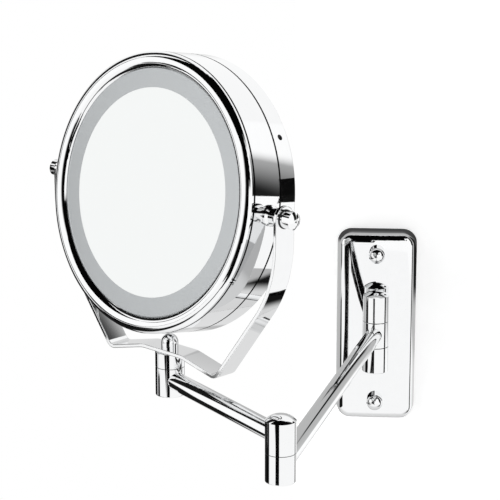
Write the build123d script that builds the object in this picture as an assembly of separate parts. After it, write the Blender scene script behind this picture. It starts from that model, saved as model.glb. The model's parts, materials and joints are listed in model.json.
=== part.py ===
# Extendable wall mirror: a wall plate, two folding arms, a swivelling yoke and a lit two-sided head.
# Lengths are in millimetres and angles in degrees.
# The origin is the centre of the wall plate's back face. X is to the right as seen from the room,
# Z is up, and the mirror reaches out into the room along -Y.

import os
from math import asin, cos, hypot, radians, sin, sqrt

from build123d import *

# Wall plate
plate_width = 58.0
plate_height = 144.0
plate_depth = 14.0
plate_corner = 10.5
plate_wall = 2.5
plate_draft = 9.0
plate_edge = 6.0
plate_crown_radius = 380.0
plate_inner_corner = 8.0
plate_inner_edge = 1.5

# Domed wall screws
wall_screw_inset = 16.0
wall_screw_head_radius = 5.9
wall_screw_head_height = 9.0
wall_screw_head_skirt = 5.0
wall_screw_neck_radius = 2.4
wall_screw_shank_radius = 2.0
wall_screw_shank_length = 24.0
wall_screw_tip = 4.0
screw_boss_wall = 3.0

# Hinge barrels shared by the wall, the elbow and the head post
barrel_radius = 9.5
barrel_edge = 0.6
barrel_gap = 2.5
wall_segment_height = 18.8
washer_thickness = 0.4
washer_set_back = 0.25
plug_rim = 3.0
plug_thickness = 1.2

# Pins, bolts and clearances
pin_radius = 4.0
thread_radius = 3.0
running_gap = 0.05
fixed_gap = 0.03
end_gap = 0.1
slide_gap = 0.02
thread_spare = 1.0
cut_over = 1.0
join_lap = 0.5

# Lugs and the screws that hold them to the plate
lug_roof = 3.0
lug_dome = 3.0
lug_foot_width = 11.0
lug_foot_height = 13.0
lug_screw_radius = 2.0
lug_screw_web = 1.95
lug_screw_spare = 0.5
lug_screw_head_radius = 3.8
lug_screw_head_height = 2.4
lug_screw_recess = 1.2

# Arms
tube_radius = 6.0
tube_wall = 1.5
wall_arm_length = 282.0
front_arm_length = 130.0
fold_gap = 2.6
tube_inset = 5.4

# Elbow
elbow_lower_height = 18.2
elbow_floor = 4.0
elbow_cap_height = 4.2
elbow_cap_skirt = 0.4
elbow_rim = 1.5
elbow_head_height = 3.0
elbow_head_gap = 0.3
elbow_drive_radius = 2.6
elbow_drive_depth = 2.0
elbow_ledge_wall = 0.4
spring_washer_thickness = 0.8
cap_spigot_length = 1.2
cap_wall = 1.1
cap_head_gap = 0.6

# Head post
post_drop = 10.6
post_rise = 8.4
post_head_gap = 0.9
post_head_height = 2.0
post_shoulder_relief = 0.3
collar_height = 10.0
cap_nut_radius = 5.6
cap_nut_height = 9.0
cap_nut_skirt = 3.4
cap_nut_thread = 5.5

# Yoke: a flat strip bent to a wide fork, measured along its mid-plane from the tilt axis
strip_width = 16.0
strip_thickness = 2.5
strip_edge = 0.5
head_swing_gap = 1.5
yoke_bend_drop = 42.0
yoke_foot_half = 48.5
yoke_foot_drop = 7.3
yoke_bar_half = 18.0
yoke_bend_radius = 80.0
yoke_foot_radius = 6.0
yoke_bar_radius = 24.0

# Tilt pivots at the yoke's ends
pivot_radius = 3.0
pivot_washer_radius = 6.0
knob_radius = 5.5
knob_length = 8.4
knob_crown = 1.6
spacer_radius = 6.6
spacer_waist = 5.2
spacer_flange = 1.6
spacer_length = 9.75
pivot_nut_radius = 5.2
pivot_nut_length = 5.0

# Head drum and its two rims
drum_radius = 88.5
drum_wall = 1.5
seam_gap = 1.4
rim_width = 10.7
rim_height = 4.6
rim_edge = 1.4
rear_ring_depth = 11.1
skirt_wall = 1.7
skirt_length = 9.2
skirt_clearance = 0.8
spigot_clearance = 0.8
spigot_root = 1.5
spigot_lap = 1.2
spigot_gap = 0.05
ring_screw_radius = 1.9
ring_screw_inset = 5.9
ring_screw_angle = 31.4
ring_screw_count = 3
ring_screw_recess = 0.9

# Mirrors and the lit ring
glass_thickness = 3.0
glass_lap = 2.7
glass_set_back = 1.0
lit_ring_width = 11.9
glue_gap = 0.05
magnifier_sag = 5.0

# Lamps and the moulded disc that carries them
chassis_thickness = 2.0
chassis_cup_wall = 2.2
chassis_cup_inset = 1.4
chassis_rim_wall = 2.4
chassis_rim_lap = 0.7
board_thickness = 1.2
board_clearance = 0.4
led_count = 20
led_size = 3.0
led_height = 1.4

# Batteries and their tray
battery_radius = 5.2
battery_length = 44.5
battery_gap = 1.2
battery_count = 3
battery_nub_height = 0.9
battery_nub_radius = 1.8
contact_size = 7.0
contact_thickness = 0.5
contact_room = 1.75
tray_wall = 1.5
tray_side_room = 0.95
tray_lip = 1.05

# Switch and leads
switch_angle = 215.0
switch_body_size = 9.0
switch_body_depth = 7.0
switch_set_back = 0.6
button_radius = 3.2
button_height = 2.2
button_gap = 0.1
button_crown = 0.8
button_engagement = 1.0
button_well = 3.0
lead_radius = 0.7
lead_bend = 3.0
lead_drop = 3.5
lead_spread = 8.0
lead_run = 12.0
lead_hole_gap = 0.5
lead_hole_angle = 135.0

# Pose: headings are turned about Z from straight out of the wall, negative towards -X
wall_arm_heading = -11.1
front_arm_heading = -143.5
yoke_heading = -40.1
head_tilt = 9.8

# Wall side: what follows from the values above
wall_screw_spacing = plate_height - 2 * wall_screw_inset
axis_stand_off = barrel_radius + barrel_gap
wall_axis_y = -(plate_depth + axis_stand_off)
bore_radius = pin_radius + running_gap
thread_bore = thread_radius + fixed_gap
socket_radius = tube_radius + fixed_gap
plug_radius = barrel_radius - plug_rim
lug_base = wall_segment_height / 2 + washer_thickness
lug_top = lug_base + wall_segment_height
lug_middle = lug_base + wall_segment_height / 2
lug_screw_reach = axis_stand_off - bore_radius - lug_screw_web

# Elbow and head post: heights above the wall arm's axis
arm_rise = tube_radius + fold_gap + post_drop
elbow_seam = elbow_lower_height / 2
elbow_upper_base = elbow_seam + washer_thickness
elbow_upper_top = 2 * arm_rise - elbow_upper_base
elbow_seat = arm_rise + tube_radius + elbow_ledge_wall
elbow_bolt_top = elbow_seat + spring_washer_thickness + elbow_head_height
cap_spigot_radius = barrel_radius - elbow_rim
cap_hollow_radius = cap_spigot_radius - cap_wall
elbow_head_radius = cap_hollow_radius - cap_head_gap
post_bottom = arm_rise - post_drop
post_top = arm_rise + post_rise
post_head_radius = plug_radius - post_head_gap
post_head_top = post_bottom + plug_thickness + end_gap + post_head_height
post_ledge = post_head_top + spring_washer_thickness
collar_base = post_top + washer_thickness
bar_base = collar_base + collar_height
bar_top = bar_base + strip_thickness

# Head: stations along its axis, counted from the tilt axis towards the front
drum_inner_radius = drum_radius - drum_wall
inside_half = max(pivot_nut_radius, switch_body_size / 2)
skirt_outer_radius = drum_inner_radius - spigot_gap
skirt_inner_radius = skirt_outer_radius - skirt_wall
skirt_inner_end = inside_half + skirt_clearance
rim_base = skirt_inner_end + skirt_length
drum_front = rim_base - seam_gap
spigot_root_end = -(inside_half + spigot_clearance)
drum_rear = spigot_root_end - spigot_root
rear_ring_front = drum_rear - seam_gap
rear_rim_base = rear_ring_front - rear_ring_depth
spigot_end = rear_rim_base - spigot_lap
ring_screw_level = rear_ring_front - ring_screw_inset
rim_half = rim_width / 2
rim_inner_radius = drum_radius - rim_width
rim_mid_radius = drum_radius - rim_half
glass_edge_radius = rim_inner_radius + glass_lap
glass_front = rim_base + glass_set_back
glass_back = glass_front - glass_thickness
rear_glass_level = rear_rim_base - glass_set_back
lit_ring_inner_radius = rim_inner_radius - lit_ring_width
chassis_front = skirt_inner_end + chassis_thickness
chassis_back = glass_back - glue_gap
chassis_rim_radius = glass_edge_radius - chassis_rim_lap
cup_radius = lit_ring_inner_radius - chassis_cup_inset
cup_back = chassis_back - chassis_cup_wall
board_outer_radius = chassis_rim_radius - board_clearance
board_inner_radius = cup_radius + board_clearance
board_mid_radius = (board_outer_radius + board_inner_radius) / 2
board_base = chassis_front + glue_gap
tray_back = cup_back - glue_gap
battery_pitch = 2 * battery_radius + battery_gap
battery_level = tray_back - tray_wall - glue_gap - battery_radius
tray_length = battery_length + 2 * (contact_room + tray_wall)
tray_width = (battery_count - 1) * battery_pitch + 2 * (battery_radius + tray_side_room + tray_wall)
tray_depth = tray_wall + glue_gap + 2 * battery_radius + tray_lip
switch_top = sqrt(drum_inner_radius**2 - (switch_body_size / 2) ** 2) - switch_set_back
lead_level = skirt_inner_end - lead_drop

# Yoke: its span clears the drum and its spacers, its bar clears the swinging head and the cap nut
rim_rise = rim_height - rim_edge
rim_ball = (rim_half**2 + rim_rise**2) / (2 * rim_rise)
far_rim_level = max(rim_base, -rear_rim_base)
rim_corner_reach = hypot(drum_radius, far_rim_level + rim_edge)
rim_crown_reach = hypot(rim_mid_radius, far_rim_level + rim_height - rim_ball) + rim_ball
head_swing_radius = max(rim_corner_reach, rim_crown_reach)
spacer_base = drum_radius + running_gap
spacer_end = spacer_base + spacer_length
inner_washer_base = spacer_end + running_gap
yoke_half_span = inner_washer_base + washer_thickness + strip_thickness / 2
outer_washer_base = yoke_half_span + strip_thickness / 2
knob_base = outer_washer_base + washer_thickness + running_gap
yoke_bar_drop = head_swing_radius + head_swing_gap + cap_nut_height + strip_thickness / 2
pivot_height = bar_base + strip_thickness / 2 + yoke_bar_drop

wall_place = Pos(0, wall_axis_y, 0)
wall_arm_place = wall_place * Rot(0, 0, wall_arm_heading)
elbow_place = wall_arm_place * Pos(0, -wall_arm_length, 0)
front_arm_place = elbow_place * Rot(0, 0, front_arm_heading - wall_arm_heading) * Pos(0, 0, arm_rise)
post_place = front_arm_place * Pos(0, -front_arm_length, -arm_rise)
yoke_place = post_place * Rot(0, 0, yoke_heading - front_arm_heading)
pivot_place = yoke_place * Pos(0, 0, pivot_height)
# In the head's own frame +Z faces out of the front mirror, X is the tilt axis and Y is up.
head_place = pivot_place * Rot(-head_tilt, 0, 0) * Rot(90, 0, 0)


def turned(points):
    """A solid turned about Z from a closed outline of (radius, height) points."""
    outline = make_face(Polyline(*points, close=True))
    return revolve(Plane.XZ * outline, Axis.Z)


def round_bar(radius, low, high):
    """A round bar on Z between two heights."""
    return Pos(0, 0, (low + high) / 2) * Cylinder(radius, high - low)


def ring(outer_radius, inner_radius, low, high):
    """A round ring on Z between two heights."""
    return round_bar(outer_radius, low, high) - round_bar(inner_radius, low - cut_over, high + cut_over)


def domed_bar(radius, base, skirt, height):
    """A round button on Z: a straight skirt under a spherical crown, from its base to its full height."""
    crown = height - skirt
    ball = (radius**2 + crown**2) / (2 * crown)
    lean = asin(min(1.0, radius / ball)) / 2
    shoulder = (ball * sin(lean), base + height - ball + ball * cos(lean))
    outline = make_face([
        Line((0, base), (radius, base)),
        Line((radius, base), (radius, base + skirt)),
        ThreePointArc((radius, base + skirt), shoulder, (0, base + height)),
        Line((0, base + height), (0, base)),
    ])
    return revolve(Plane.XZ * outline, Axis.Z)


def along_x(shape):
    """Turn a shape built on Z so that its axis lies along +X."""
    return Rot(0, 90, 0) * shape


def out_of_wall(shape):
    """Turn a shape built on Z so that its axis points into the room, along -Y."""
    return Rot(90, 0, 0) * shape


def edge_rounded(shape, radius, heights):
    """Round the circular edges of a turned shape that lie at the given heights."""
    chosen = [e for e in shape.edges().filter_by(GeomType.CIRCLE) if any(
        abs(e.center().Z - z) < 1e-4 and abs(e.radius - barrel_radius) < 1e-4 for z in heights)]
    return fillet(chosen, radius)


def socket(height):
    """The blind side hole in a barrel that an arm tube enters, opening towards -Y."""
    reach = 2 * barrel_radius
    return Pos(0, -tube_inset - reach / 2, height) * Rot(90, 0, 0) * Cylinder(socket_radius, reach)


def plate_blank(width, height, depth, corner):
    """A drafted block with rounded corners, its back on the wall."""
    back = Plane.XZ * RectangleRounded(width, height, corner)
    return extrude(back, amount=depth, taper=plate_draft)


def front_rounded(block, edge):
    """Round the edge of a block's front face."""
    front = block.faces().sort_by(Axis.Y)[0]
    return fillet(front.edges(), edge)


def wall_plate():
    """The shell against the wall, its front gently crowned, with tubular bosses for the wall screws."""
    shell = plate_blank(plate_width, plate_height, plate_depth, plate_corner)
    shell &= Pos(0, plate_crown_radius - plate_depth, 0) * Cylinder(plate_crown_radius, 2 * plate_height)
    shell = front_rounded(shell, plate_edge)
    inner_width = plate_width - 2 * plate_wall
    inner_height = plate_height - 2 * plate_wall
    hollow = plate_blank(inner_width, inner_height, plate_depth - plate_wall, plate_inner_corner)
    shell -= front_rounded(hollow, plate_inner_edge)
    boss_radius = wall_screw_neck_radius + running_gap + screw_boss_wall
    for side in (-1, 1):
        place = Pos(0, 0, side * wall_screw_spacing / 2)
        shell += place * out_of_wall(round_bar(boss_radius, 0, plate_depth - plate_wall / 2))
        hole = round_bar(wall_screw_neck_radius + running_gap, -cut_over, plate_depth + cut_over)
        shell -= place * out_of_wall(hole)
    for side in (-1, 1):
        hole = round_bar(lug_screw_radius + running_gap, 0, plate_depth + cut_over)
        shell -= Pos(0, 0, side * lug_middle) * out_of_wall(hole)
    return shell


def wall_screws():
    """The two domed screws that hold the plate, their shanks standing out of the back into the wall."""
    head = domed_bar(wall_screw_head_radius, plate_depth, wall_screw_head_skirt, wall_screw_head_height)
    neck = round_bar(wall_screw_neck_radius, 0, plate_depth)
    shank = round_bar(wall_screw_shank_radius, -wall_screw_shank_length, 0)
    tip_base = -wall_screw_shank_length
    tip = turned([(0, tip_base), (wall_screw_shank_radius, tip_base), (0, tip_base - wall_screw_tip)])
    screw = out_of_wall(head + neck + shank + tip)
    return [Pos(0, 0, side * wall_screw_spacing / 2) * screw for side in (-1, 1)]


def lug(barrel, low, high, bore_low, bore_high):
    """A fixed barrel segment given a foot on the plate and a bore for the hinge pin."""
    middle = (low + high) / 2
    foot = Pos(0, axis_stand_off / 2, middle) * Box(lug_foot_width, axis_stand_off, lug_foot_height)
    body = barrel + foot - round_bar(bore_radius, bore_low, bore_high)
    tapped = round_bar(lug_screw_radius + fixed_gap, 0, lug_screw_reach + lug_screw_spare)
    body -= Pos(0, axis_stand_off, middle) * out_of_wall(tapped)
    return wall_place * body


def upper_lug():
    """The upper fixed segment, domed on top, its bore stopping short of the dome."""
    barrel = domed_bar(barrel_radius, lug_base, wall_segment_height, wall_segment_height + lug_dome)
    return lug(barrel, lug_base, lug_top, lug_base - cut_over, lug_top - lug_roof)


def lower_lug():
    """The lower fixed segment, bored through and recessed for the plug that hides the pin."""
    barrel = edge_rounded(round_bar(barrel_radius, -lug_top, -lug_base), barrel_edge, [-lug_top])
    body = lug(barrel, -lug_top, -lug_base, -lug_top - cut_over, -lug_base + cut_over)
    recess = round_bar(plug_radius + fixed_gap, -lug_top - cut_over, -lug_top + plug_thickness)
    return body - wall_place * recess


def lug_screws():
    """The two screws inside the plate that hold the lugs."""
    seat = plate_depth - plate_wall
    floor = seat - lug_screw_head_height / 2
    head = round_bar(lug_screw_head_radius, seat - lug_screw_head_height, seat)
    head -= round_bar(lug_screw_recess, seat - lug_screw_head_height - cut_over, floor)
    screw = out_of_wall(head + round_bar(lug_screw_radius, floor, plate_depth + lug_screw_reach))
    return [Pos(0, 0, side * lug_middle) * screw for side in (-1, 1)]


def wall_hinge_pin():
    """The pin through all three wall barrel segments."""
    low = -lug_top + plug_thickness + end_gap
    high = lug_top - lug_roof - end_gap
    return wall_place * round_bar(pin_radius, low, high)


def wall_pin_plug():
    """The plug that closes the bottom of the wall barrel."""
    return wall_place * round_bar(plug_radius, -lug_top, -lug_top + plug_thickness)


def seam_washer(base):
    """A thin bearing washer in the seam between two barrel segments."""
    top = base + washer_thickness - slide_gap
    return ring(barrel_radius - washer_set_back, bore_radius, base, top)


def wall_washers():
    """The two washers above and below the wall arm's knuckle."""
    return [wall_place * seam_washer(base) for base in (-lug_base, wall_segment_height / 2)]


def wall_knuckle():
    """The turning middle segment of the wall barrel, with the wall arm's socket."""
    half = wall_segment_height / 2
    body = edge_rounded(round_bar(barrel_radius, -half, half), barrel_edge / 2, [-half, half])
    body -= round_bar(bore_radius, -half - cut_over, half + cut_over)
    return wall_arm_place * (body - socket(0))


def arm_tube(length):
    """A straight arm tube along -Y between the sockets of two barrels this far apart."""
    span = length - 2 * tube_inset
    solid = Cylinder(tube_radius, span) - Cylinder(tube_radius - tube_wall, span + cut_over)
    return Pos(0, -length / 2, 0) * Rot(90, 0, 0) * solid


def wall_arm_tube():
    """The long arm from the wall to the elbow."""
    return wall_arm_place * arm_tube(wall_arm_length)


def elbow_lower_barrel():
    """The elbow's lower barrel on the wall arm's end, tapped for the elbow bolt."""
    body = edge_rounded(round_bar(barrel_radius, -elbow_seam, elbow_seam), barrel_edge, [-elbow_seam])
    body -= round_bar(thread_bore, -elbow_seam + elbow_floor, elbow_seam + cut_over)
    return elbow_place * (body - Rot(0, 0, 180) * socket(0))


def elbow_bolt():
    """The shoulder bolt that holds the elbow together, screwed into the lower barrel."""
    head_base = elbow_bolt_top - elbow_head_height
    bolt = round_bar(elbow_head_radius, head_base, elbow_bolt_top)
    bolt += round_bar(pin_radius, elbow_seam, head_base)
    bolt += round_bar(thread_radius, -elbow_seam + elbow_floor + thread_spare, elbow_seam)
    drive = extrude(RegularPolygon(elbow_drive_radius, 6), amount=-elbow_drive_depth)
    return elbow_place * (bolt - Pos(0, 0, elbow_bolt_top) * drive)


def elbow_spring_washer():
    """The spring washer under the elbow bolt's head that gives the joint its drag."""
    high = elbow_seat + spring_washer_thickness
    return elbow_place * ring(elbow_head_radius, bore_radius, elbow_seat + slide_gap, high)


def elbow_washer():
    """The bearing washer in the elbow's seam."""
    return elbow_place * seam_washer(elbow_seam)


def elbow_upper_barrel():
    """The elbow's upper barrel on the front arm, with a ledge for the bolt and a seat for the cap."""
    above = elbow_upper_top + cut_over
    body = round_bar(barrel_radius, elbow_upper_base, elbow_upper_top)
    body -= round_bar(bore_radius, elbow_upper_base - cut_over, above)
    body -= round_bar(elbow_head_radius + elbow_head_gap, elbow_seat, above)
    spigot_seat = elbow_upper_top - cap_spigot_length - end_gap
    body -= round_bar(cap_spigot_radius + fixed_gap, spigot_seat, above)
    return front_arm_place * Pos(0, 0, -arm_rise) * (body - socket(arm_rise))


def elbow_cap():
    """The domed cap pressed into the top of the elbow."""
    spigot_low = elbow_upper_top - cap_spigot_length
    dome = domed_bar(barrel_radius, elbow_upper_top, elbow_cap_skirt, elbow_cap_height)
    dome += round_bar(cap_spigot_radius, spigot_low, elbow_upper_top + elbow_cap_skirt)
    dome -= round_bar(cap_hollow_radius, spigot_low - cut_over, elbow_bolt_top + elbow_head_gap)
    return elbow_place * dome


def front_arm_tube():
    """The short arm from the elbow to the head post."""
    return front_arm_place * arm_tube(front_arm_length)


def post_barrel():
    """The head post's barrel on the front arm's end."""
    body = round_bar(barrel_radius, post_bottom, post_top)
    body = edge_rounded(body, barrel_edge, [post_bottom])
    body -= round_bar(bore_radius, post_bottom - cut_over, post_top + cut_over)
    body -= round_bar(plug_radius + fixed_gap, post_bottom - cut_over, post_ledge)
    return post_place * (body - Rot(0, 0, 180) * socket(arm_rise))


def post_plug():
    """The plug that closes the bottom of the head post."""
    return post_place * round_bar(plug_radius, post_bottom, post_bottom + plug_thickness)


def post_bolt():
    """The bolt up through the head post that the yoke's cap nut screws onto."""
    shoulder = bar_top - post_shoulder_relief
    bolt = round_bar(post_head_radius, post_head_top - post_head_height, post_head_top)
    bolt += round_bar(pin_radius, post_head_top, shoulder)
    bolt += round_bar(thread_radius, shoulder, bar_top + cap_nut_thread - thread_spare)
    return yoke_place * bolt


def post_spring_washer():
    """The spring washer on the post bolt's head that gives the swivel its drag."""
    return yoke_place * ring(post_head_radius, bore_radius, post_head_top, post_ledge - slide_gap)


def post_washer():
    """The bearing washer in the head post's seam."""
    return yoke_place * seam_washer(post_top)


def yoke_collar():
    """The turning upper barrel of the head post, under the yoke's bar."""
    body = edge_rounded(round_bar(barrel_radius, collar_base, bar_base), barrel_edge, [bar_base])
    return yoke_place * (body - round_bar(bore_radius, collar_base - cut_over, bar_base + cut_over))


def yoke_cap_nut():
    """The domed nut on top of the yoke's bar."""
    nut = domed_bar(cap_nut_radius, bar_top, cap_nut_skirt, cap_nut_height)
    return yoke_place * (nut - round_bar(thread_bore, bar_top - cut_over, bar_top + cap_nut_thread))


def strip_side(points, radii, offset):
    """Edges of one side of a bent strip: its mid-line moved sideways, with each corner rounded."""
    steps = [(b[0] - a[0], b[1] - a[1]) for a, b in zip(points, points[1:])]
    ways = [(x / hypot(x, y), y / hypot(x, y)) for x, y in steps]
    moved = [(points[0][0] - offset * ways[0][1], points[0][1] + offset * ways[0][0])]
    for corner, before, after in zip(points[1:], ways, ways[1:]):
        lean = 1 + before[0] * after[0] + before[1] * after[1]
        side = (-(before[1] + after[1]) / lean, (before[0] + after[0]) / lean)
        moved.append((corner[0] + offset * side[0], corner[1] + offset * side[1]))
    moved.append((points[-1][0] - offset * ways[-1][1], points[-1][1] + offset * ways[-1][0]))
    edges = []
    start = moved[0]
    for corner, before, after, radius in zip(moved[1:], ways, ways[1:], radii):
        turn = before[0] * after[1] - before[1] * after[0]
        along = before[0] * after[0] + before[1] * after[1]
        bend = radius - offset if turn > 0 else radius + offset
        reach = bend * abs(turn) / (1 + along)
        first = (corner[0] - reach * before[0], corner[1] - reach * before[1])
        last = (corner[0] + reach * after[0], corner[1] + reach * after[1])
        edges.append(Line(start, first))
        edges.append(TangentArc(first, last, tangent=before))
        start = last
    edges.append(Line(start, moved[-1]))
    return edges


def long_edges_rounded(strip):
    """Round the edges that run along a strip and round its tips, not the seams across it."""
    straight = strip.edges().filter_by(GeomType.LINE)
    seams = straight.filter_by(Axis.Y) + [e for e in straight if e.length < 2 * strip_thickness]
    return fillet([e for e in strip.edges() if e not in seams], strip_edge)


def yoke_strip():
    """The flat strip bent to a fork: upright ends, slanted sides, rounded feet and a raised bar."""
    half = [
        (yoke_half_span, 0),
        (yoke_half_span, -yoke_bend_drop),
        (yoke_foot_half, -yoke_bar_drop - yoke_foot_drop),
        (yoke_bar_half, -yoke_bar_drop),
    ]
    points = half + [(-x, z) for x, z in reversed(half)]
    radii = [yoke_bend_radius, yoke_foot_radius, yoke_bar_radius]
    radii = radii + list(reversed(radii))
    left = strip_side(points, radii, strip_thickness / 2)
    right = strip_side(points, radii, -strip_thickness / 2)
    ends = [Line(left[0] @ 0, right[0] @ 0), Line(left[-1] @ 1, right[-1] @ 1)]
    outline = make_face(left + right + ends)
    strip = extrude(Plane.XZ * outline, amount=strip_width / 2, both=True)
    for side in (-1, 1):
        tip = along_x(Cylinder(strip_width / 2, strip_thickness))
        strip += Pos(side * yoke_half_span, 0, 0) * tip
    strip = long_edges_rounded(strip)
    for side in (-1, 1):
        hole = along_x(Cylinder(pivot_radius + running_gap, 3 * strip_thickness))
        strip -= Pos(side * yoke_half_span, 0, 0) * hole
    strip -= Pos(0, 0, -yoke_bar_drop) * Cylinder(bore_radius, 3 * strip_thickness)
    return pivot_place * strip


def both_sides(shape, place):
    """A shape built for the right-hand pivot, with its twin at the left."""
    return [place * shape, place * Rot(0, 0, 180) * shape]


def pivot_washers():
    """The four thin washers on both faces of the yoke's ends."""
    washers = []
    for base in (inner_washer_base, outer_washer_base):
        shape = ring(pivot_washer_radius, pivot_radius + running_gap, base, base + washer_thickness)
        washers += both_sides(along_x(shape), pivot_place)
    return washers


def pivot_knobs():
    """The two turned knobs, each with the stud the head tilts on."""
    stud_end = drum_inner_radius - pivot_nut_length
    knob = domed_bar(knob_radius, knob_base, knob_length - knob_crown, knob_length)
    knob += round_bar(pivot_radius, stud_end, knob_base)
    return both_sides(along_x(knob), head_place)


def pivot_spacers():
    """The two waisted spacers between the drum and the yoke."""
    bore = pivot_radius + fixed_gap
    slope = spacer_radius - spacer_waist
    spacer = turned([
        (bore, spacer_base),
        (spacer_radius, spacer_base),
        (spacer_radius, spacer_base + spacer_flange),
        (spacer_waist, spacer_base + spacer_flange + slope),
        (spacer_waist, spacer_end - spacer_flange - slope),
        (spacer_radius, spacer_end - spacer_flange),
        (spacer_radius, spacer_end),
        (bore, spacer_end),
    ])
    return both_sides(along_x(spacer), head_place)


def pivot_nuts():
    """The two nuts inside the drum that the pivot studs screw into."""
    high = sqrt(drum_inner_radius**2 - pivot_nut_radius**2) - running_gap
    nut = ring(pivot_nut_radius, pivot_radius + fixed_gap, high - pivot_nut_length, high)
    return both_sides(along_x(nut), head_place)


def on_drum(angle, height):
    """A place on the head at this angle round its axis and height along it, with Z pointing outwards."""
    return Pos(0, 0, height) * Rot(0, 0, angle) * Rot(0, 90, 0)


def ring_screw_places():
    """Places of the rear rim's screws, evenly round the drum."""
    step = 360 / ring_screw_count
    return [on_drum(ring_screw_angle + index * step, ring_screw_level) for index in range(ring_screw_count)]


def drum_shell():
    """The drum's wall, with a spigot behind the rear seam."""
    shell = turned([
        (drum_inner_radius, drum_front),
        (drum_radius, drum_front),
        (drum_radius, drum_rear),
        (skirt_outer_radius, drum_rear),
        (skirt_outer_radius, spigot_end),
        (skirt_inner_radius, spigot_end),
        (skirt_inner_radius, spigot_root_end),
        (drum_inner_radius, spigot_root_end),
    ])
    low = drum_inner_radius - cut_over
    high = drum_radius + cut_over
    for angle in (0, 180):
        shell -= on_drum(angle, 0) * round_bar(pivot_radius + running_gap, low, high)
    shell -= on_drum(switch_angle, 0) * round_bar(button_radius + button_gap, low, high)
    for place in ring_screw_places():
        shell -= place * round_bar(ring_screw_radius + fixed_gap, skirt_inner_radius - cut_over, high)
    return head_place * shell


def crowned_rim(base, outward):
    """The crowned lip round a mirror, bulging to the front (1) or the rear (-1), stepped for the glass."""
    edge = base + outward * rim_edge
    crest = (rim_mid_radius, base + outward * rim_height)
    section = make_face([
        Line((rim_inner_radius, base), (rim_inner_radius, edge)),
        ThreePointArc((rim_inner_radius, edge), crest, (drum_radius, edge)),
        Line((drum_radius, edge), (drum_radius, base)),
        Line((drum_radius, base), (rim_inner_radius, base)),
    ])
    lip = revolve(Plane.XZ * section, Axis.Z)
    low, high = sorted((base - outward * cut_over, base + outward * glass_set_back))
    return lip - round_bar(glass_edge_radius + glue_gap, low, high)


def front_bezel():
    """The front rim that holds the lit mirror, with the skirt that plugs into the drum."""
    bezel = crowned_rim(rim_base, 1)
    bezel += ring(skirt_outer_radius, skirt_inner_radius, skirt_inner_end, rim_base + join_lap)
    return head_place * bezel


def rear_ring():
    """The rear rim, a cap over the drum's spigot that holds the magnifying mirror."""
    spigot_room = skirt_outer_radius + spigot_gap
    lip = crowned_rim(rear_rim_base, -1)
    lip += ring(drum_radius, spigot_room, rear_rim_base - join_lap, rear_ring_front)
    lip -= ring(spigot_room, skirt_inner_radius - spigot_gap, spigot_end - spigot_gap, rear_ring_front)
    for place in ring_screw_places():
        lip -= place * round_bar(ring_screw_radius + fixed_gap, skirt_inner_radius, drum_radius + cut_over)
    return head_place * lip


def ring_screws():
    """The small headless screws round the rear rim."""
    screw = round_bar(ring_screw_radius, skirt_inner_radius, drum_radius - ring_screw_recess)
    return [head_place * place * screw for place in ring_screw_places()]


def front_mirror():
    """The plain mirror glass in the middle of the front."""
    return head_place * round_bar(lit_ring_inner_radius - glue_gap, glass_back, glass_front)


def lit_ring():
    """The frosted ring round the front mirror that the lamps shine through."""
    return head_place * ring(glass_edge_radius, lit_ring_inner_radius, glass_back, glass_front)


def rear_mirror():
    """The magnifying mirror at the back, hollow as seen from behind."""
    edge = glass_edge_radius
    rear = rear_glass_level
    front = rear + glass_thickness
    face = ThreePointArc((-edge, rear), (0, rear + magnifier_sag), (edge, rear))
    back = ThreePointArc((-edge, front), (0, front + magnifier_sag), (edge, front))
    section = make_face([face, back, Line(face @ 0, back @ 0), Line(face @ 1, back @ 1)])
    section &= Pos(edge, 0) * Rectangle(2 * edge, 4 * edge)
    return head_place * revolve(Plane.XZ * section, Axis.Z)


def chassis():
    """The moulded disc inside the drum that backs the front mirror and carries the lamps and batteries."""
    body = round_bar(skirt_inner_radius - glue_gap, skirt_inner_end, chassis_front)
    body += round_bar(cup_radius, skirt_inner_end, chassis_back)
    body += ring(chassis_rim_radius + chassis_rim_wall, chassis_rim_radius, skirt_inner_end, chassis_back)
    body -= round_bar(cup_radius - chassis_cup_wall, skirt_inner_end - cut_over, cup_back)
    hole = round_bar(lead_radius + lead_hole_gap, skirt_inner_end - cut_over, chassis_front + cut_over)
    return head_place * (body - Pos(*lead_hole()) * hole)


def lamp_board():
    """The ring-shaped circuit board behind the lit ring."""
    board_face = board_base + board_thickness
    return head_place * ring(board_outer_radius, board_inner_radius, board_base, board_face)


def lamps():
    """The small white lamps spaced round the board."""
    middle = board_base + board_thickness + led_height / 2
    lamp = Pos(board_mid_radius, 0, middle) * Box(led_size, led_size, led_height)
    return [head_place * Rot(0, 0, index * 360 / led_count) * lamp for index in range(led_count)]


def battery_tray():
    """The open tray on the back of the chassis that holds the batteries."""
    middle = tray_back - tray_depth / 2
    tray = Pos(0, 0, middle) * Box(tray_length, tray_width, tray_depth)
    room = Box(tray_length - 2 * tray_wall, tray_width - 2 * tray_wall, tray_depth)
    return head_place * (tray - Pos(0, 0, middle - tray_wall) * room)


def battery_places():
    """Places of the batteries, side by side across the tray."""
    rows = [(index - (battery_count - 1) / 2) * battery_pitch for index in range(battery_count)]
    return [head_place * Pos(0, row, battery_level) for row in rows]


def batteries():
    """The batteries lying side by side, turned end for end in turn."""
    shoulder = battery_length / 2 - battery_nub_height
    cell = round_bar(battery_radius, -battery_length / 2, shoulder)
    cell += round_bar(battery_nub_radius, shoulder, battery_length / 2)
    turns = [90 if index % 2 == 0 else -90 for index in range(battery_count)]
    return [place * Rot(0, turn, 0) * cell for place, turn in zip(battery_places(), turns)]


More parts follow.
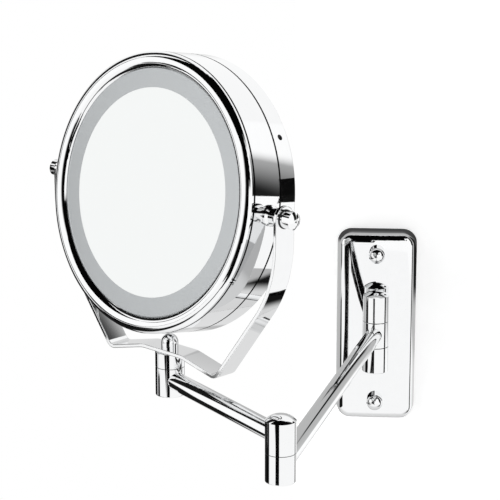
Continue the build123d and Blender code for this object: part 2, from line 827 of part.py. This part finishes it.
def battery_contacts():
    """The contact plates at both ends of each battery, with a bump that reaches it."""
    wall = tray_length / 2 - tray_wall - glue_gap
    plate_face = wall - contact_thickness
    bump = round_bar(battery_nub_radius, battery_length / 2 + glue_gap, plate_face)
    plate = Pos(0, 0, (plate_face + wall) / 2) * Box(contact_size, contact_size, contact_thickness)
    contact = along_x(plate + bump)
    return [place * Rot(0, 0, turn) * contact for place in battery_places() for turn in (0, 180)]


def switch_body():
    """The switch inside the drum's wall."""
    middle = switch_top - switch_body_depth / 2
    box = Pos(0, 0, middle) * Box(switch_body_size, switch_body_size, switch_body_depth)
    well = round_bar(button_radius + button_gap, switch_top - button_well, switch_top + cut_over)
    return head_place * on_drum(switch_angle, 0) * (box - well)


def switch_button():
    """The push button that stands out of the drum."""
    base = switch_top - button_engagement
    height = drum_radius + button_height - base
    button = domed_bar(button_radius, base, height - button_crown, height)
    return head_place * on_drum(switch_angle, 0) * button


def round_head(radius, angle):
    """A point across the head, at this distance from its axis and angle round it."""
    return radius * cos(radians(angle)), radius * sin(radians(angle))


def lead_hole():
    """Where a lead passes through the disc to the lamp board."""
    return round_head(board_mid_radius, lead_hole_angle)


def lead_wires():
    """The leads from the battery tray to the switch and up to the lamp board."""
    tray_side = -tray_length / 2 - glue_gap
    switch_back = switch_top - switch_body_depth - glue_gap
    to_switch = [
        (tray_side, -lead_spread),
        (tray_side - lead_run, -lead_spread),
        round_head(switch_back - lead_run, switch_angle),
        round_head(switch_back, switch_angle),
    ]
    to_board = [(tray_side, lead_spread), (tray_side - lead_run, lead_spread), lead_hole()]
    switch_run = [(x, y, lead_level) for x, y in to_switch]
    board_run = [(x, y, lead_level) for x, y in to_board] + [(*lead_hole(), chassis_front)]
    wires = []
    for run in (switch_run, board_run):
        path = FilletPolyline(*run, radius=lead_bend)
        section = Plane(origin=path @ 0, z_dir=path % 0) * Circle(lead_radius)
        wires.append(head_place * sweep(section, path))
    return wires


pieces = {
    "wall_plate": wall_plate,
    "wall_screws": wall_screws,
    "upper_lug": upper_lug,
    "lower_lug": lower_lug,
    "lug_screws": lug_screws,
    "wall_hinge_pin": wall_hinge_pin,
    "wall_pin_plug": wall_pin_plug,
    "wall_washers": wall_washers,
    "wall_knuckle": wall_knuckle,
    "wall_arm_tube": wall_arm_tube,
    "elbow_lower_barrel": elbow_lower_barrel,
    "elbow_bolt": elbow_bolt,
    "elbow_spring_washer": elbow_spring_washer,
    "elbow_washer": elbow_washer,
    "elbow_upper_barrel": elbow_upper_barrel,
    "elbow_cap": elbow_cap,
    "front_arm_tube": front_arm_tube,
    "post_barrel": post_barrel,
    "post_plug": post_plug,
    "post_bolt": post_bolt,
    "post_spring_washer": post_spring_washer,
    "post_washer": post_washer,
    "yoke_collar": yoke_collar,
    "yoke_strip": yoke_strip,
    "yoke_cap_nut": yoke_cap_nut,
    "pivot_washers": pivot_washers,
    "pivot_knobs": pivot_knobs,
    "pivot_spacers": pivot_spacers,
    "pivot_nuts": pivot_nuts,
    "drum_shell": drum_shell,
    "front_bezel": front_bezel,
    "rear_ring": rear_ring,
    "ring_screws": ring_screws,
    "front_mirror": front_mirror,
    "lit_ring": lit_ring,
    "rear_mirror": rear_mirror,
    "chassis": chassis,
    "lamp_board": lamp_board,
    "lamps": lamps,
    "battery_tray": battery_tray,
    "batteries": batteries,
    "battery_contacts": battery_contacts,
    "switch_body": switch_body,
    "switch_button": switch_button,
    "lead_wires": lead_wires,
}

os.makedirs("parts", exist_ok=True)
for name, make in pieces.items():
    made = make()
    solids = made if isinstance(made, list) else [made]
    solids = [solid for item in solids for solid in item.solids()]
    whole = solids[0] if len(solids) == 1 else Compound(children=solids)
    export_step(whole, f"parts/{name}.step")
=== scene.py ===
"""Looks for the extendable wall mirror: chrome, mirror glass and a frosted ring in a white studio."""

import json
import math

import bpy
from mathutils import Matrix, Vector


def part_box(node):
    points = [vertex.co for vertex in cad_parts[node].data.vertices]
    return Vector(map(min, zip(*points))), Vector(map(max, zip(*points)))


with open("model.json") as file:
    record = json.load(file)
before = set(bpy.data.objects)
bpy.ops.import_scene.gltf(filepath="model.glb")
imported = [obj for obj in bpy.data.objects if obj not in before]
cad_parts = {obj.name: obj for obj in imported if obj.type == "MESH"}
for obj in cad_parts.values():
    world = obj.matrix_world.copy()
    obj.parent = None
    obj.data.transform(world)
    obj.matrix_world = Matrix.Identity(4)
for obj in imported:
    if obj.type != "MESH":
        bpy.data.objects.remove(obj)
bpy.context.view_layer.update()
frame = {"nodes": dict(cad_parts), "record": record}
nodes = frame["nodes"]

# Camera, in metres and degrees, with its lens in millimetres
camera_place = (0.00498, -1.423, 0.4265)
camera_heading = 3.96
camera_dip = 14.64
camera_lens = 144.0
sensor_width = 36.0
clip_reach = (0.05, 30.0)

# Key lamp, in metres and watts
key_place = (-1.0, -0.9, 0.6)
key_size = (0.7, 0.9)
key_power = 9.0

# Wall, floor and the sheet that shows the plate's shadow, in metres
floor_level = -0.26
studio_left = -1.6
studio_right = 4.0
studio_front = -1.7
wall_top = 1.5
wall_setback = 0.0005
shadow_sheet_sides = (-0.06, 0.6)
shadow_sheet_top = 0.5

# Softboxes and boards, in metres, with headings in degrees from straight in front
studio_middle = (-0.08, -0.2)
softbox_radius = 1.05
softbox_steps = 15
left_softbox_headings = (-96.1, -26.0)
left_softbox_foot = -0.12
left_softbox_tops = (0.56, 0.80)
left_softbox_rise = 0.27
left_softbox_lean = 7.7
left_softbox_fade_way = (0.83, -0.56, -0.37)
left_softbox_fade = (-0.30, 0.03)
right_softbox_headings = (25.0, 75.0)
right_softbox_tops = (1.5, 1.5)
right_softbox_fade = (0.9, 1.5)
front_board_headings = (3.0, 25.0)
front_board_tops = (0.56, 0.56)
front_board_fade = (0.36, 0.56)
right_board_line = ((1.2, -0.01), (2.6, -0.01))
right_board_top = 0.06

# Black cards, in metres
right_flag_line = ((0.24, -0.002), (0.277, -0.075))
right_flag_top = 0.05
front_card_middle = (-0.205, -0.70)
front_card_aim = (-0.06, -0.23)
front_card_width = 0.2
front_card_top = 0.01
rear_card_side = 0.10
rear_card_low = (-0.230, 0.131)
rear_card_high = (-0.216, 0.18)
rear_card_back = -0.15

# Directions that light levels change along
across_way = (1.0, 0.0, 0.0)
depth_way = (0.0, 1.0, 0.0)
upward_way = (0.0, 0.0, 1.0)
strip_way = (-0.87, -0.49, 0.0)
front_corner_way = (-0.8, 0.6, 0.0)
table_shade_way = (1.0, -0.6, 0.0)
plate_shadow_way = (1.0, 0.0, -0.5)

# Right end of the wall's dark gap, low down and high up, in metres
wall_gap_ends = (-0.20, -0.33)

# Where painted light levels change on the wall in reflections: start and end of each change, in metres
wall_gap_left = (-0.752, -0.728)
wall_gap_heights = (-0.03, 0.03)
wall_gap_edge = (-0.012, 0.012)
high_wall_start = (0.16, 0.27)
right_wall_start = (0.12, 0.30)
left_wall_end = (-0.125, -0.095)
low_wall_end = (-0.12, -0.06)
beside_plate_start = (0.0, 0.05)
beside_plate_top = (-0.04, 0.02)
beside_plate_foot = (-0.16, -0.08)
far_right_drop = (0.66, 1.06)
far_right_tail = (0.45, 1.85)
high_right_start = (0.40, 0.46)
high_right_foot = (0.48, 0.62)
plate_shadow_left = (-0.008, 0.002)
plate_shadow_right = (0.024, 0.042)
plate_shadow_bottom = (0.01, 0.03)
plate_shadow_top = (0.10, 0.13)
top_shadow_left = (-0.040, -0.034)
top_shadow_right = (0.028, 0.034)
top_shadow_bottom = (0.060, 0.066)
top_shadow_top = (0.074, 0.080)

# Where painted light levels change on the floor in reflections: start and end of each change, in metres
strip_near_edge = (0.59, 0.62)
strip_far_edge = (0.69, 0.72)
strip_front = (-0.98, -0.94)
table_left_edge = (-0.40, -0.36)
table_left_front = (-0.50, -0.44)
table_shade = (0.165, 0.255)
table_shade_front = (-0.112, -0.098)
half_shade_front = (-0.16, -0.135)
table_end = (0.293, 0.305)
wall_foot = (-0.3, 0.0)
back_corner_side = (-0.70, -0.64)
back_corner_front = (-0.36, -0.29)
back_strip_start = (-1.15, -1.13)
back_strip_end = (-1.01, -0.99)
front_corner_left = (0.01, 0.05)
front_corner_right = (-0.48, -0.42)
front_corner_back = (-0.96, -0.91)

# Light levels, where 1 is white
sky_level = 0.62
dark_level = 0.0015
white_level = 1.1
camera_lift = 0.40
shade_level = 0.01
half_shade_level = 0.6
top_shadow_level = 0.12
# Painted on the wall for reflections: shade round the plate, and lighter to the left, low down and high up
grey_level = 0.47
left_wall_level = 0.68
low_wall_level = 0.72
high_wall_level = 0.95
# Painted shade at the wall's far right, and high up on its right
far_right_tail_levels = (0.5, 0.012)
high_right_level = 0.05
table_level = 0.95
# Painted shade on the floor along the wall's foot
wall_foot_level = 0.65

# Colours, linear
chrome_colour = (0.90, 0.905, 0.91)
mirror_colour = (0.835, 0.85, 0.845)
frosted_colour = (0.55, 0.57, 0.58)
steel_colour = (0.42, 0.42, 0.43)
nylon_colour = (0.012, 0.012, 0.013)
moulding_colour = (0.78, 0.78, 0.76)
board_colour = (0.68, 0.71, 0.66)
lamp_colour = (0.85, 0.74, 0.33)
dark_plastic_colour = (0.008, 0.008, 0.009)
battery_colour = (0.012, 0.03, 0.07)
lead_colour = (0.3, 0.012, 0.01)
# Painted shade: black for the seams' bottoms and walls, and for the ring screws in their recesses
painted_recess_shade_colour = (0.012, 0.012, 0.013)
paper_colour = (0.9, 0.9, 0.9)
felt_colour = (0.004, 0.004, 0.004)

# Surface patterns: layers of detail, depth of relief in metres and strength of relief
pattern_detail = 4.0
fine_relief = 0.00001
coarse_relief = 0.00002
relief_strength = 0.3

# Angle above which an edge stays sharp, in degrees
crease_angle = 32.0

# Seams of the head, painted black as shade: under the drum's outside, in metres, a wall lies less deep
# than the seam's depth and a bottom deeper than its own. A wall faces along the head's axis, and a bottom
# away from it, this squarely
seam_depth = 0.0017
bottom_depth = 0.001
squareness = 0.9


def new_material(name):
    """An empty node material, its tree and its output."""
    material = bpy.data.materials.new(name)
    material.use_nodes = True
    material.node_tree.nodes.clear()
    output = material.node_tree.nodes.new("ShaderNodeOutputMaterial")
    return material, material.node_tree, output


def noise(tree, scale):
    """A noise pattern fixed to the piece, with its scale per metre."""
    place = tree.nodes.new("ShaderNodeTexCoord")
    pattern = tree.nodes.new("ShaderNodeTexNoise")
    pattern.inputs["Scale"].default_value = scale
    pattern.inputs["Detail"].default_value = pattern_detail
    tree.links.new(place.outputs["Object"], pattern.inputs["Vector"])
    return pattern.outputs["Fac"]


def spread(tree, value, low, high):
    """A pattern's value spread between two limits."""
    ramp = tree.nodes.new("ShaderNodeMapRange")
    ramp.inputs["To Min"].default_value = low
    ramp.inputs["To Max"].default_value = high
    tree.links.new(value, ramp.inputs["Value"])
    return ramp.outputs["Result"]


def tinted(tree, value, colour, share):
    """A colour that a pattern darkens by up to this share."""
    ramp = tree.nodes.new("ShaderNodeValToRGB")
    ramp.color_ramp.elements[0].color = (*[c * (1 - share) for c in colour], 1)
    ramp.color_ramp.elements[1].color = (*colour, 1)
    tree.links.new(value, ramp.inputs["Fac"])
    return ramp.outputs["Color"]


def bumped(tree, value, depth):
    """A surface normal raised by a pattern, with its depth in metres."""
    bump = tree.nodes.new("ShaderNodeBump")
    bump.inputs["Distance"].default_value = depth
    bump.inputs["Strength"].default_value = relief_strength
    tree.links.new(value, bump.inputs["Height"])
    return bump.outputs["Normal"]


def surface(name, colour, rough, grain, tint, metal=0.0, relief=0.0, coat=0.0):
    """A finish whose colour, roughness and relief all vary with one fine pattern."""
    material, tree, output = new_material(name)
    shader = tree.nodes.new("ShaderNodeBsdfPrincipled")
    shader.inputs["Metallic"].default_value = metal
    shader.inputs["Coat Weight"].default_value = coat
    pattern = noise(tree, grain)
    tree.links.new(tinted(tree, pattern, colour, tint), shader.inputs["Base Color"])
    tree.links.new(spread(tree, pattern, *rough), shader.inputs["Roughness"])
    if relief:
        tree.links.new(bumped(tree, pattern, relief), shader.inputs["Normal"])
    tree.links.new(shader.outputs["BSDF"], output.inputs["Surface"])
    return material


finish_details = {
    "chrome": dict(colour=chrome_colour, metal=1.0, rough=(0.015, 0.045), grain=180.0, tint=0.03),
    "mirror": dict(colour=mirror_colour, metal=1.0, rough=(0.0, 0.012), grain=60.0, tint=0.01),
    "diffuser": dict(colour=frosted_colour, metal=0.85, rough=(0.28, 0.36), grain=2600.0, tint=0.08,
                     relief=coarse_relief),
    "steel": dict(colour=steel_colour, metal=1.0, rough=(0.22, 0.38), grain=900.0, tint=0.15,
                  relief=fine_relief),
    "nylon": dict(colour=nylon_colour, rough=(0.4, 0.6), grain=1500.0, tint=0.2, relief=fine_relief),
    "moulding": dict(colour=moulding_colour, rough=(0.35, 0.5), grain=1200.0, tint=0.06,
                     relief=coarse_relief),
    "board": dict(colour=board_colour, rough=(0.25, 0.4), grain=700.0, tint=0.1, relief=fine_relief,
                  coat=0.3),
    "lamp": dict(colour=lamp_colour, rough=(0.1, 0.25), grain=1500.0, tint=0.1, coat=0.6),
    "dark_plastic": dict(colour=dark_plastic_colour, rough=(0.4, 0.55), grain=1200.0, tint=0.2,
                         relief=coarse_relief),
    "battery_case": dict(colour=battery_colour, rough=(0.18, 0.3), grain=500.0, tint=0.15, coat=0.5),
    "lead_sleeve": dict(colour=lead_colour, rough=(0.35, 0.5), grain=900.0, tint=0.15),
    # Painted recess shade: black where shade falls in the seams and on the ring screws
    "painted_recess_shade": dict(colour=painted_recess_shade_colour, rough=(0.4, 0.6), grain=900.0, tint=0.2),
}
finishes = {name: surface(name, **details) for name, details in finish_details.items()}
# The ring screws take the painted recess shade
own_finishes = {"ring_screws": "painted_recess_shade"}


def dress_nodes():
    """Give every node its slot's finish, smooth its curved faces and keep its flat ones flat."""
    for part in frame["record"]["subparts"]:
        piece = nodes[part["node"]]
        piece.data.materials.clear()
        piece.data.materials.append(finishes[own_finishes.get(part["node"], part["material_slot"])])
        piece.data.shade_smooth()
        piece.data.set_sharp_from_angle(angle=math.radians(crease_angle))
        weighted = piece.modifiers.new("flat_faces_stay_flat", "WEIGHTED_NORMAL")
        weighted.mode = "FACE_AREA_WITH_ANGLE"
        weighted.keep_sharp = True


def head_axis():
    """A point on the head's axis and the axis's direction, from the front mirror's largest face."""
    face = max(nodes["front_mirror"].data.polygons, key=lambda polygon: polygon.area)
    low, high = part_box("front_mirror")
    return (Vector(low) + Vector(high)) / 2, face.normal.copy()


def paint_seam_shade():
    """Paint shade on the bottoms and walls of the two seams round the drum: a black finish where shade
    falls.
    """
    middle, axis = head_axis()
    outside = max((vertex.co - middle).cross(axis).length for vertex in nodes["drum_shell"].data.vertices)
    for name in ("front_bezel", "drum_shell", "rear_ring"):
        mesh = nodes[name].data
        shade_slot = len(mesh.materials)
        mesh.materials.append(finishes["painted_recess_shade"])
        for polygon in mesh.polygons:
            offset = polygon.center - middle
            outward = offset - offset.project(axis)
            depth = outside - outward.length
            is_bottom = polygon.normal.dot(outward.normalized()) > squareness and depth > bottom_depth
            is_wall = abs(polygon.normal.dot(axis)) > squareness and depth < seam_depth
            if is_bottom or is_wall:
                polygon.material_index = shade_slot


def along(tree, way):
    """How far a point of a sheet lies along this direction, in metres."""
    place = tree.nodes.new("ShaderNodeTexCoord")
    reach = tree.nodes.new("ShaderNodeVectorMath")
    reach.operation = "DOT_PRODUCT"
    reach.inputs[1].default_value = way
    tree.links.new(place.outputs["Object"], reach.inputs[0])
    return reach.outputs["Value"]


def fade(tree, value, edge, first, last):
    """One level before an edge, another after it, and smooth between."""
    step = tree.nodes.new("ShaderNodeMapRange")
    step.interpolation_type = "SMOOTHSTEP"
    step.inputs["From Min"].default_value = edge[0]
    step.inputs["From Max"].default_value = edge[1]
    step.inputs["To Min"].default_value = first
    step.inputs["To Max"].default_value = last
    tree.links.new(value, step.inputs["Value"])
    return step.outputs["Result"]


def combined(tree, operation, *values):
    """Values put together one after the other, such as their product or the largest of them."""
    total = values[0]
    for value in values[1:]:
        node = tree.nodes.new("ShaderNodeMath")
        node.operation = operation
        tree.links.new(total, node.inputs[0])
        tree.links.new(value, node.inputs[1])
        total = node.outputs["Value"]
    return total


def mixed(tree, share, first, second):
    """One shader that gives way to another as a share goes from 0 to 1."""
    mix = tree.nodes.new("ShaderNodeMixShader")
    tree.links.new(share, mix.inputs["Fac"])
    tree.links.new(first, mix.inputs[1])
    tree.links.new(second, mix.inputs[2])
    return mix.outputs["Shader"]


def wall_middle(tree, across, height):
    """Painted shade round the plate, grey, and painted light above it, below it and on both sides."""
    above = fade(tree, height, high_wall_start, grey_level, high_wall_level)
    right = fade(tree, across, right_wall_start, grey_level, 1.0)
    left = fade(tree, across, left_wall_end, left_wall_level, 0.0)
    low = fade(tree, height, low_wall_end, low_wall_level, 0.0)
    beside = combined(tree, "MULTIPLY",
                      fade(tree, across, beside_plate_start, 0.0, 1.0),
                      fade(tree, height, beside_plate_top, 1.0, 0.0),
                      fade(tree, height, beside_plate_foot, low_wall_level, 1.0))
    return combined(tree, "MAXIMUM", above, right, left, low, beside)


def wall_right(tree, across, height):
    """The wall's right end, with painted shade far off and high up."""
    far = combined(tree, "MAXIMUM",
                   fade(tree, across, far_right_drop, 1.0, 0.0),
                   fade(tree, across, far_right_tail, *far_right_tail_levels))
    high = combined(tree, "MAXIMUM",
                    fade(tree, height, high_right_foot, 1.0, high_right_level),
                    fade(tree, across, high_right_start, 1.0, 0.0))
    return combined(tree, "MULTIPLY", far, high)


def plate_shadows(tree, across, height):
    """The plate's shadows: a slanting band on its right and a line over its top."""
    slanting = along(tree, plate_shadow_way)
    band = combined(tree, "MAXIMUM",
                    fade(tree, slanting, plate_shadow_left, 1.0, shade_level),
                    fade(tree, slanting, plate_shadow_right, shade_level, 1.0),
                    fade(tree, height, plate_shadow_bottom, 1.0, 0.0),
                    fade(tree, height, plate_shadow_top, 0.0, 1.0))
    line = combined(tree, "MAXIMUM",
                    fade(tree, across, top_shadow_left, 1.0, 0.0),
                    fade(tree, across, top_shadow_right, 0.0, 1.0),
                    fade(tree, height, top_shadow_bottom, 1.0, 0.0),
                    fade(tree, height, top_shadow_top, top_shadow_level, 1.0))
    return combined(tree, "MULTIPLY", band, line)


def wall_levels(tree):
    """Painted light and shade on the wall, seen only in a reflection: white at the far left, a dark gap,
    then the rest.
    """
    across = along(tree, across_way)
    height = along(tree, upward_way)
    far_left = fade(tree, across, wall_gap_left, 1.0, shade_level)
    gap_end = fade(tree, height, wall_gap_heights, *wall_gap_ends)
    from_gap = combined(tree, "SUBTRACT", across, gap_end)
    past_gap = fade(tree, from_gap, wall_gap_edge, shade_level, 1.0)
    lit = combined(tree, "MULTIPLY", past_gap,
                   wall_middle(tree, across, height),
                   wall_right(tree, across, height),
                   plate_shadows(tree, across, height))
    return combined(tree, "MAXIMUM", far_left, lit)


def table_levels(tree, across, depth):
    """A white table with a dark strip to its left and front, and a shade on its right near the wall."""
    leftward = along(tree, strip_way)
    rightward = along(tree, table_shade_way)
    left_end = combined(tree, "MAXIMUM",
                        fade(tree, across, table_left_edge, shade_level, 1.0),
                        fade(tree, depth, table_left_front, 1.0, 0.0))
    near_side = combined(tree, "MINIMUM",
                         fade(tree, leftward, strip_near_edge, 1.0, shade_level), left_end)
    left = combined(tree, "MAXIMUM", near_side,
                    fade(tree, leftward, strip_far_edge, 0.0, 1.0),
                    fade(tree, depth, strip_front, 1.0, 0.0))
    right = combined(tree, "MAXIMUM",
                     fade(tree, rightward, table_shade, 1.0, shade_level),
                     fade(tree, across, table_end, 0.0, 1.0),
                     fade(tree, depth, half_shade_front, 1.0, 0.0),
                     fade(tree, depth, table_shade_front, half_shade_level, 0.0))
    return combined(tree, "MULTIPLY", left, right)


def corner_levels(tree, across, depth):
    """Dark corners at the back left, crossed by a white strip, and at the front left."""
    back_strip = combined(tree, "MULTIPLY",
                          fade(tree, across, back_strip_start, 0.0, 1.0),
                          fade(tree, across, back_strip_end, 1.0, 0.0))
    back = combined(tree, "MAXIMUM", back_strip,
                    fade(tree, across, back_corner_side, shade_level, 1.0),
                    fade(tree, depth, back_corner_front, 1.0, shade_level))
    front = combined(tree, "MAXIMUM",
                     fade(tree, along(tree, front_corner_way), front_corner_left, shade_level, 1.0),
                     fade(tree, across, front_corner_right, 0.0, 1.0),
                     fade(tree, depth, front_corner_back, 0.0, 1.0))
    return combined(tree, "MULTIPLY", back, front)


def floor_levels(tree):
    """Painted light and shade on the floor, seen only in a reflection: the table, two dark corners and
    painted shade by the wall.
    """
    across = along(tree, across_way)
    depth = along(tree, depth_way)
    # Painted shade along the foot of the wall
    foot = combined(tree, "MAXIMUM",
                    fade(tree, depth, wall_foot, table_level, wall_foot_level),
                    fade(tree, across, table_end, 0.0, table_level))
    return combined(tree, "MULTIPLY",
                    table_levels(tree, across, depth), foot, corner_levels(tree, across, depth))


def paper(name, levels):
    """White paper: white for the camera, painted light and shade at its own levels in a reflection, and
    clear from behind.
    """
    material, tree, output = new_material(name)
    sheet = tree.nodes.new("ShaderNodeBsdfDiffuse")
    sheet.inputs["Color"].default_value = (*paper_colour, 1)
    lift = tree.nodes.new("ShaderNodeEmission")
    lift.inputs["Strength"].default_value = camera_lift
    seen = tree.nodes.new("ShaderNodeAddShader")
    tree.links.new(sheet.outputs["BSDF"], seen.inputs[0])
    tree.links.new(lift.outputs["Emission"], seen.inputs[1])
    mirrored = tree.nodes.new("ShaderNodeEmission")
    mirrored.inputs["Color"].default_value = (white_level, white_level, white_level, 1)
    tree.links.new(levels(tree), mirrored.inputs["Strength"])
    clear = tree.nodes.new("ShaderNodeBsdfTransparent")
    path = tree.nodes.new("ShaderNodeLightPath")
    side = tree.nodes.new("ShaderNodeNewGeometry")
    for_camera = mixed(tree, path.outputs["Is Camera Ray"], sheet.outputs["BSDF"], seen.outputs["Shader"])
    for_gloss = mixed(tree, path.outputs["Is Glossy Ray"], for_camera, mirrored.outputs["Emission"])
    one_sided = mixed(tree, side.outputs["Backfacing"], for_gloss, clear.outputs["BSDF"])
    tree.links.new(one_sided, output.inputs["Surface"])
    return material


def softbox_cloth(name, way=None, edge=None):
    """The lit front of a softbox: even, or fading to black along a direction."""
    material, tree, output = new_material(name)
    glow = tree.nodes.new("ShaderNodeEmission")
    glow.inputs["Strength"].default_value = white_level
    if way:
        tree.links.new(fade(tree, along(tree, way), edge, white_level, 0.0), glow.inputs["Strength"])
    tree.links.new(glow.outputs["Emission"], output.inputs["Surface"])
    return material


def black_felt():
    """Matt black for the cards that only reflections see."""
    material, tree, output = new_material("black_felt")
    felt = tree.nodes.new("ShaderNodeBsdfDiffuse")
    felt.inputs["Color"].default_value = (*felt_colour, 1)
    tree.links.new(felt.outputs["BSDF"], output.inputs["Surface"])
    return material


def sheet_of(name, corners, faces, material):
    """A sheet of the studio, at first shown only in reflections."""
    mesh = bpy.data.meshes.new(name)
    mesh.from_pydata(corners, [], faces)
    mesh.materials.append(material)
    sheet = bpy.data.objects.new(name, mesh)
    bpy.context.scene.collection.objects.link(sheet)
    sheet.visible_camera = False
    sheet.visible_diffuse = False
    sheet.visible_shadow = False
    return sheet


def panel(name, corners, material):
    """A flat four-cornered sheet."""
    return sheet_of(name, corners, [(0, 1, 2, 3)], material)


def upright(start, end, bottom, top):
    """The corners of an upright sheet over a line on the floor."""
    return [(*start, bottom), (*end, bottom), (*end, top), (*start, top)]


def curved_panel(name, headings, foot, tops, material, rise=1.0, lean=0.0):
    """An upright sheet curved round the object between two headings, counted from straight in front.

    Its top rises from the first height to the last over this share of its width. Its first edge leans, so
    that its foot comes this many degrees further to the front.
    """
    corners = []
    for index in range(softbox_steps + 1):
        share = index / softbox_steps
        top = tops[0] + (tops[1] - tops[0]) * min(1.0, share / rise)
        for height, first in ((foot, headings[0] + lean), (top, headings[0])):
            heading = math.radians(first + share * (headings[1] - first))
            x = studio_middle[0] + softbox_radius * math.sin(heading)
            y = studio_middle[1] - softbox_radius * math.cos(heading)
            corners.append((x, y, height))
    faces = [(2 * i, 2 * i + 2, 2 * i + 3, 2 * i + 1) for i in range(softbox_steps)]
    sheet_of(name, corners, faces, material)


def build_papers():
    """A white wall for reflections, a sheet in front of it for the plate's shadow, and a white floor."""
    wall_paper = paper("wall_paper", wall_levels)
    wall_ends = ((studio_left, wall_setback), (studio_right, wall_setback))
    wall = panel("studio_wall", upright(*wall_ends, floor_level, wall_top), wall_paper)
    wall.visible_diffuse = True
    shadow_ends = [(side, 0.0) for side in shadow_sheet_sides]
    shadow_sheet = panel("shadow_sheet", upright(*shadow_ends, floor_level, shadow_sheet_top), wall_paper)
    shadow_sheet.visible_camera = True
    shadow_sheet.visible_glossy = False
    floor = panel("studio_floor", [
        (studio_left, studio_front, floor_level),
        (studio_right, studio_front, floor_level),
        (studio_right, 0.0, floor_level),
        (studio_left, 0.0, floor_level),
    ], paper("floor_paper", floor_levels))
    floor.visible_camera = True
    floor.visible_diffuse = True


def build_softboxes():
    """A softbox on each side, a low board between them and another far to the right."""
    left_cloth = softbox_cloth("left_cloth", left_softbox_fade_way, left_softbox_fade)
    right_cloth = softbox_cloth("right_cloth", upward_way, right_softbox_fade)
    front_cloth = softbox_cloth("front_cloth", upward_way, front_board_fade)
    board_cloth = softbox_cloth("softbox_cloth")
    curved_panel("left_softbox", left_softbox_headings, left_softbox_foot, left_softbox_tops, left_cloth,
                 left_softbox_rise, left_softbox_lean)
    curved_panel("right_softbox", right_softbox_headings, floor_level, right_softbox_tops, right_cloth)
    curved_panel("front_board", front_board_headings, floor_level, front_board_tops, front_cloth)
    panel("right_board", upright(*right_board_line, floor_level, right_board_top), board_cloth)


def build_cards():
    """Black cards that draw dark edges in the reflections."""
    felt = black_felt()
    panel("right_flag", upright(*right_flag_line, floor_level, right_flag_top), felt)
    middle = Vector(front_card_middle)
    aim = Vector(front_card_aim) - middle
    across = Vector((aim.y, -aim.x)).normalized() * front_card_width / 2
    panel("front_card", upright(middle - across, middle + across, floor_level, front_card_top), felt)
    panel("rear_card", [
        (rear_card_side, *rear_card_low),
        (rear_card_side, rear_card_back, rear_card_low[1]),
        (rear_card_side, rear_card_back, rear_card_high[1]),
        (rear_card_side, *rear_card_high),
    ], felt)


def background(tree, level):
    """An even white background at this level."""
    shader = tree.nodes.new("ShaderNodeBackground")
    shader.inputs["Color"].default_value = (1.0, 1.0, 1.0, 1.0)
    shader.inputs["Strength"].default_value = level
    return shader.outputs["Background"]


def build_world():
    """White for the camera, an even sky for matt surfaces and a dark room in reflections."""
    world = bpy.data.worlds.new("studio")
    bpy.context.scene.world = world
    world.use_nodes = True
    tree = world.node_tree
    tree.nodes.clear()
    output = tree.nodes.new("ShaderNodeOutputWorld")
    path = tree.nodes.new("ShaderNodeLightPath")
    for_gloss = mixed(tree, path.outputs["Is Glossy Ray"],
                      background(tree, sky_level), background(tree, dark_level))
    for_camera = mixed(tree, path.outputs["Is Camera Ray"], for_gloss, background(tree, 1.0))
    tree.links.new(for_camera, output.inputs["Surface"])


def build_lamp():
    """One large soft lamp from the upper left, which lays the plate's faint shadow to its right."""
    lamp = bpy.data.lights.new("key_softbox", "AREA")
    lamp.shape = "RECTANGLE"
    lamp.size, lamp.size_y = key_size
    lamp.energy = key_power
    holder = bpy.data.objects.new("key_softbox", lamp)
    bpy.context.scene.collection.objects.link(holder)
    holder.location = key_place
    holder.rotation_euler = (-holder.location).to_track_quat("-Z", "Y").to_euler()
    holder.visible_glossy = False


def build_camera():
    """The photograph's viewpoint."""
    lens = bpy.data.cameras.new("camera")
    lens.lens = camera_lens
    lens.sensor_width = sensor_width
    lens.clip_start, lens.clip_end = clip_reach
    holder = bpy.data.objects.new("camera", lens)
    bpy.context.scene.collection.objects.link(holder)
    holder.location = camera_place
    holder.rotation_euler = (math.radians(90.0 - camera_dip), 0.0, math.radians(camera_heading))
    bpy.context.scene.camera = holder


dress_nodes()
paint_seam_shade()
build_papers()
build_softboxes()
build_cards()
build_world()
build_lamp()
build_camera()
bpy.context.scene.view_settings.view_transform = "Standard"
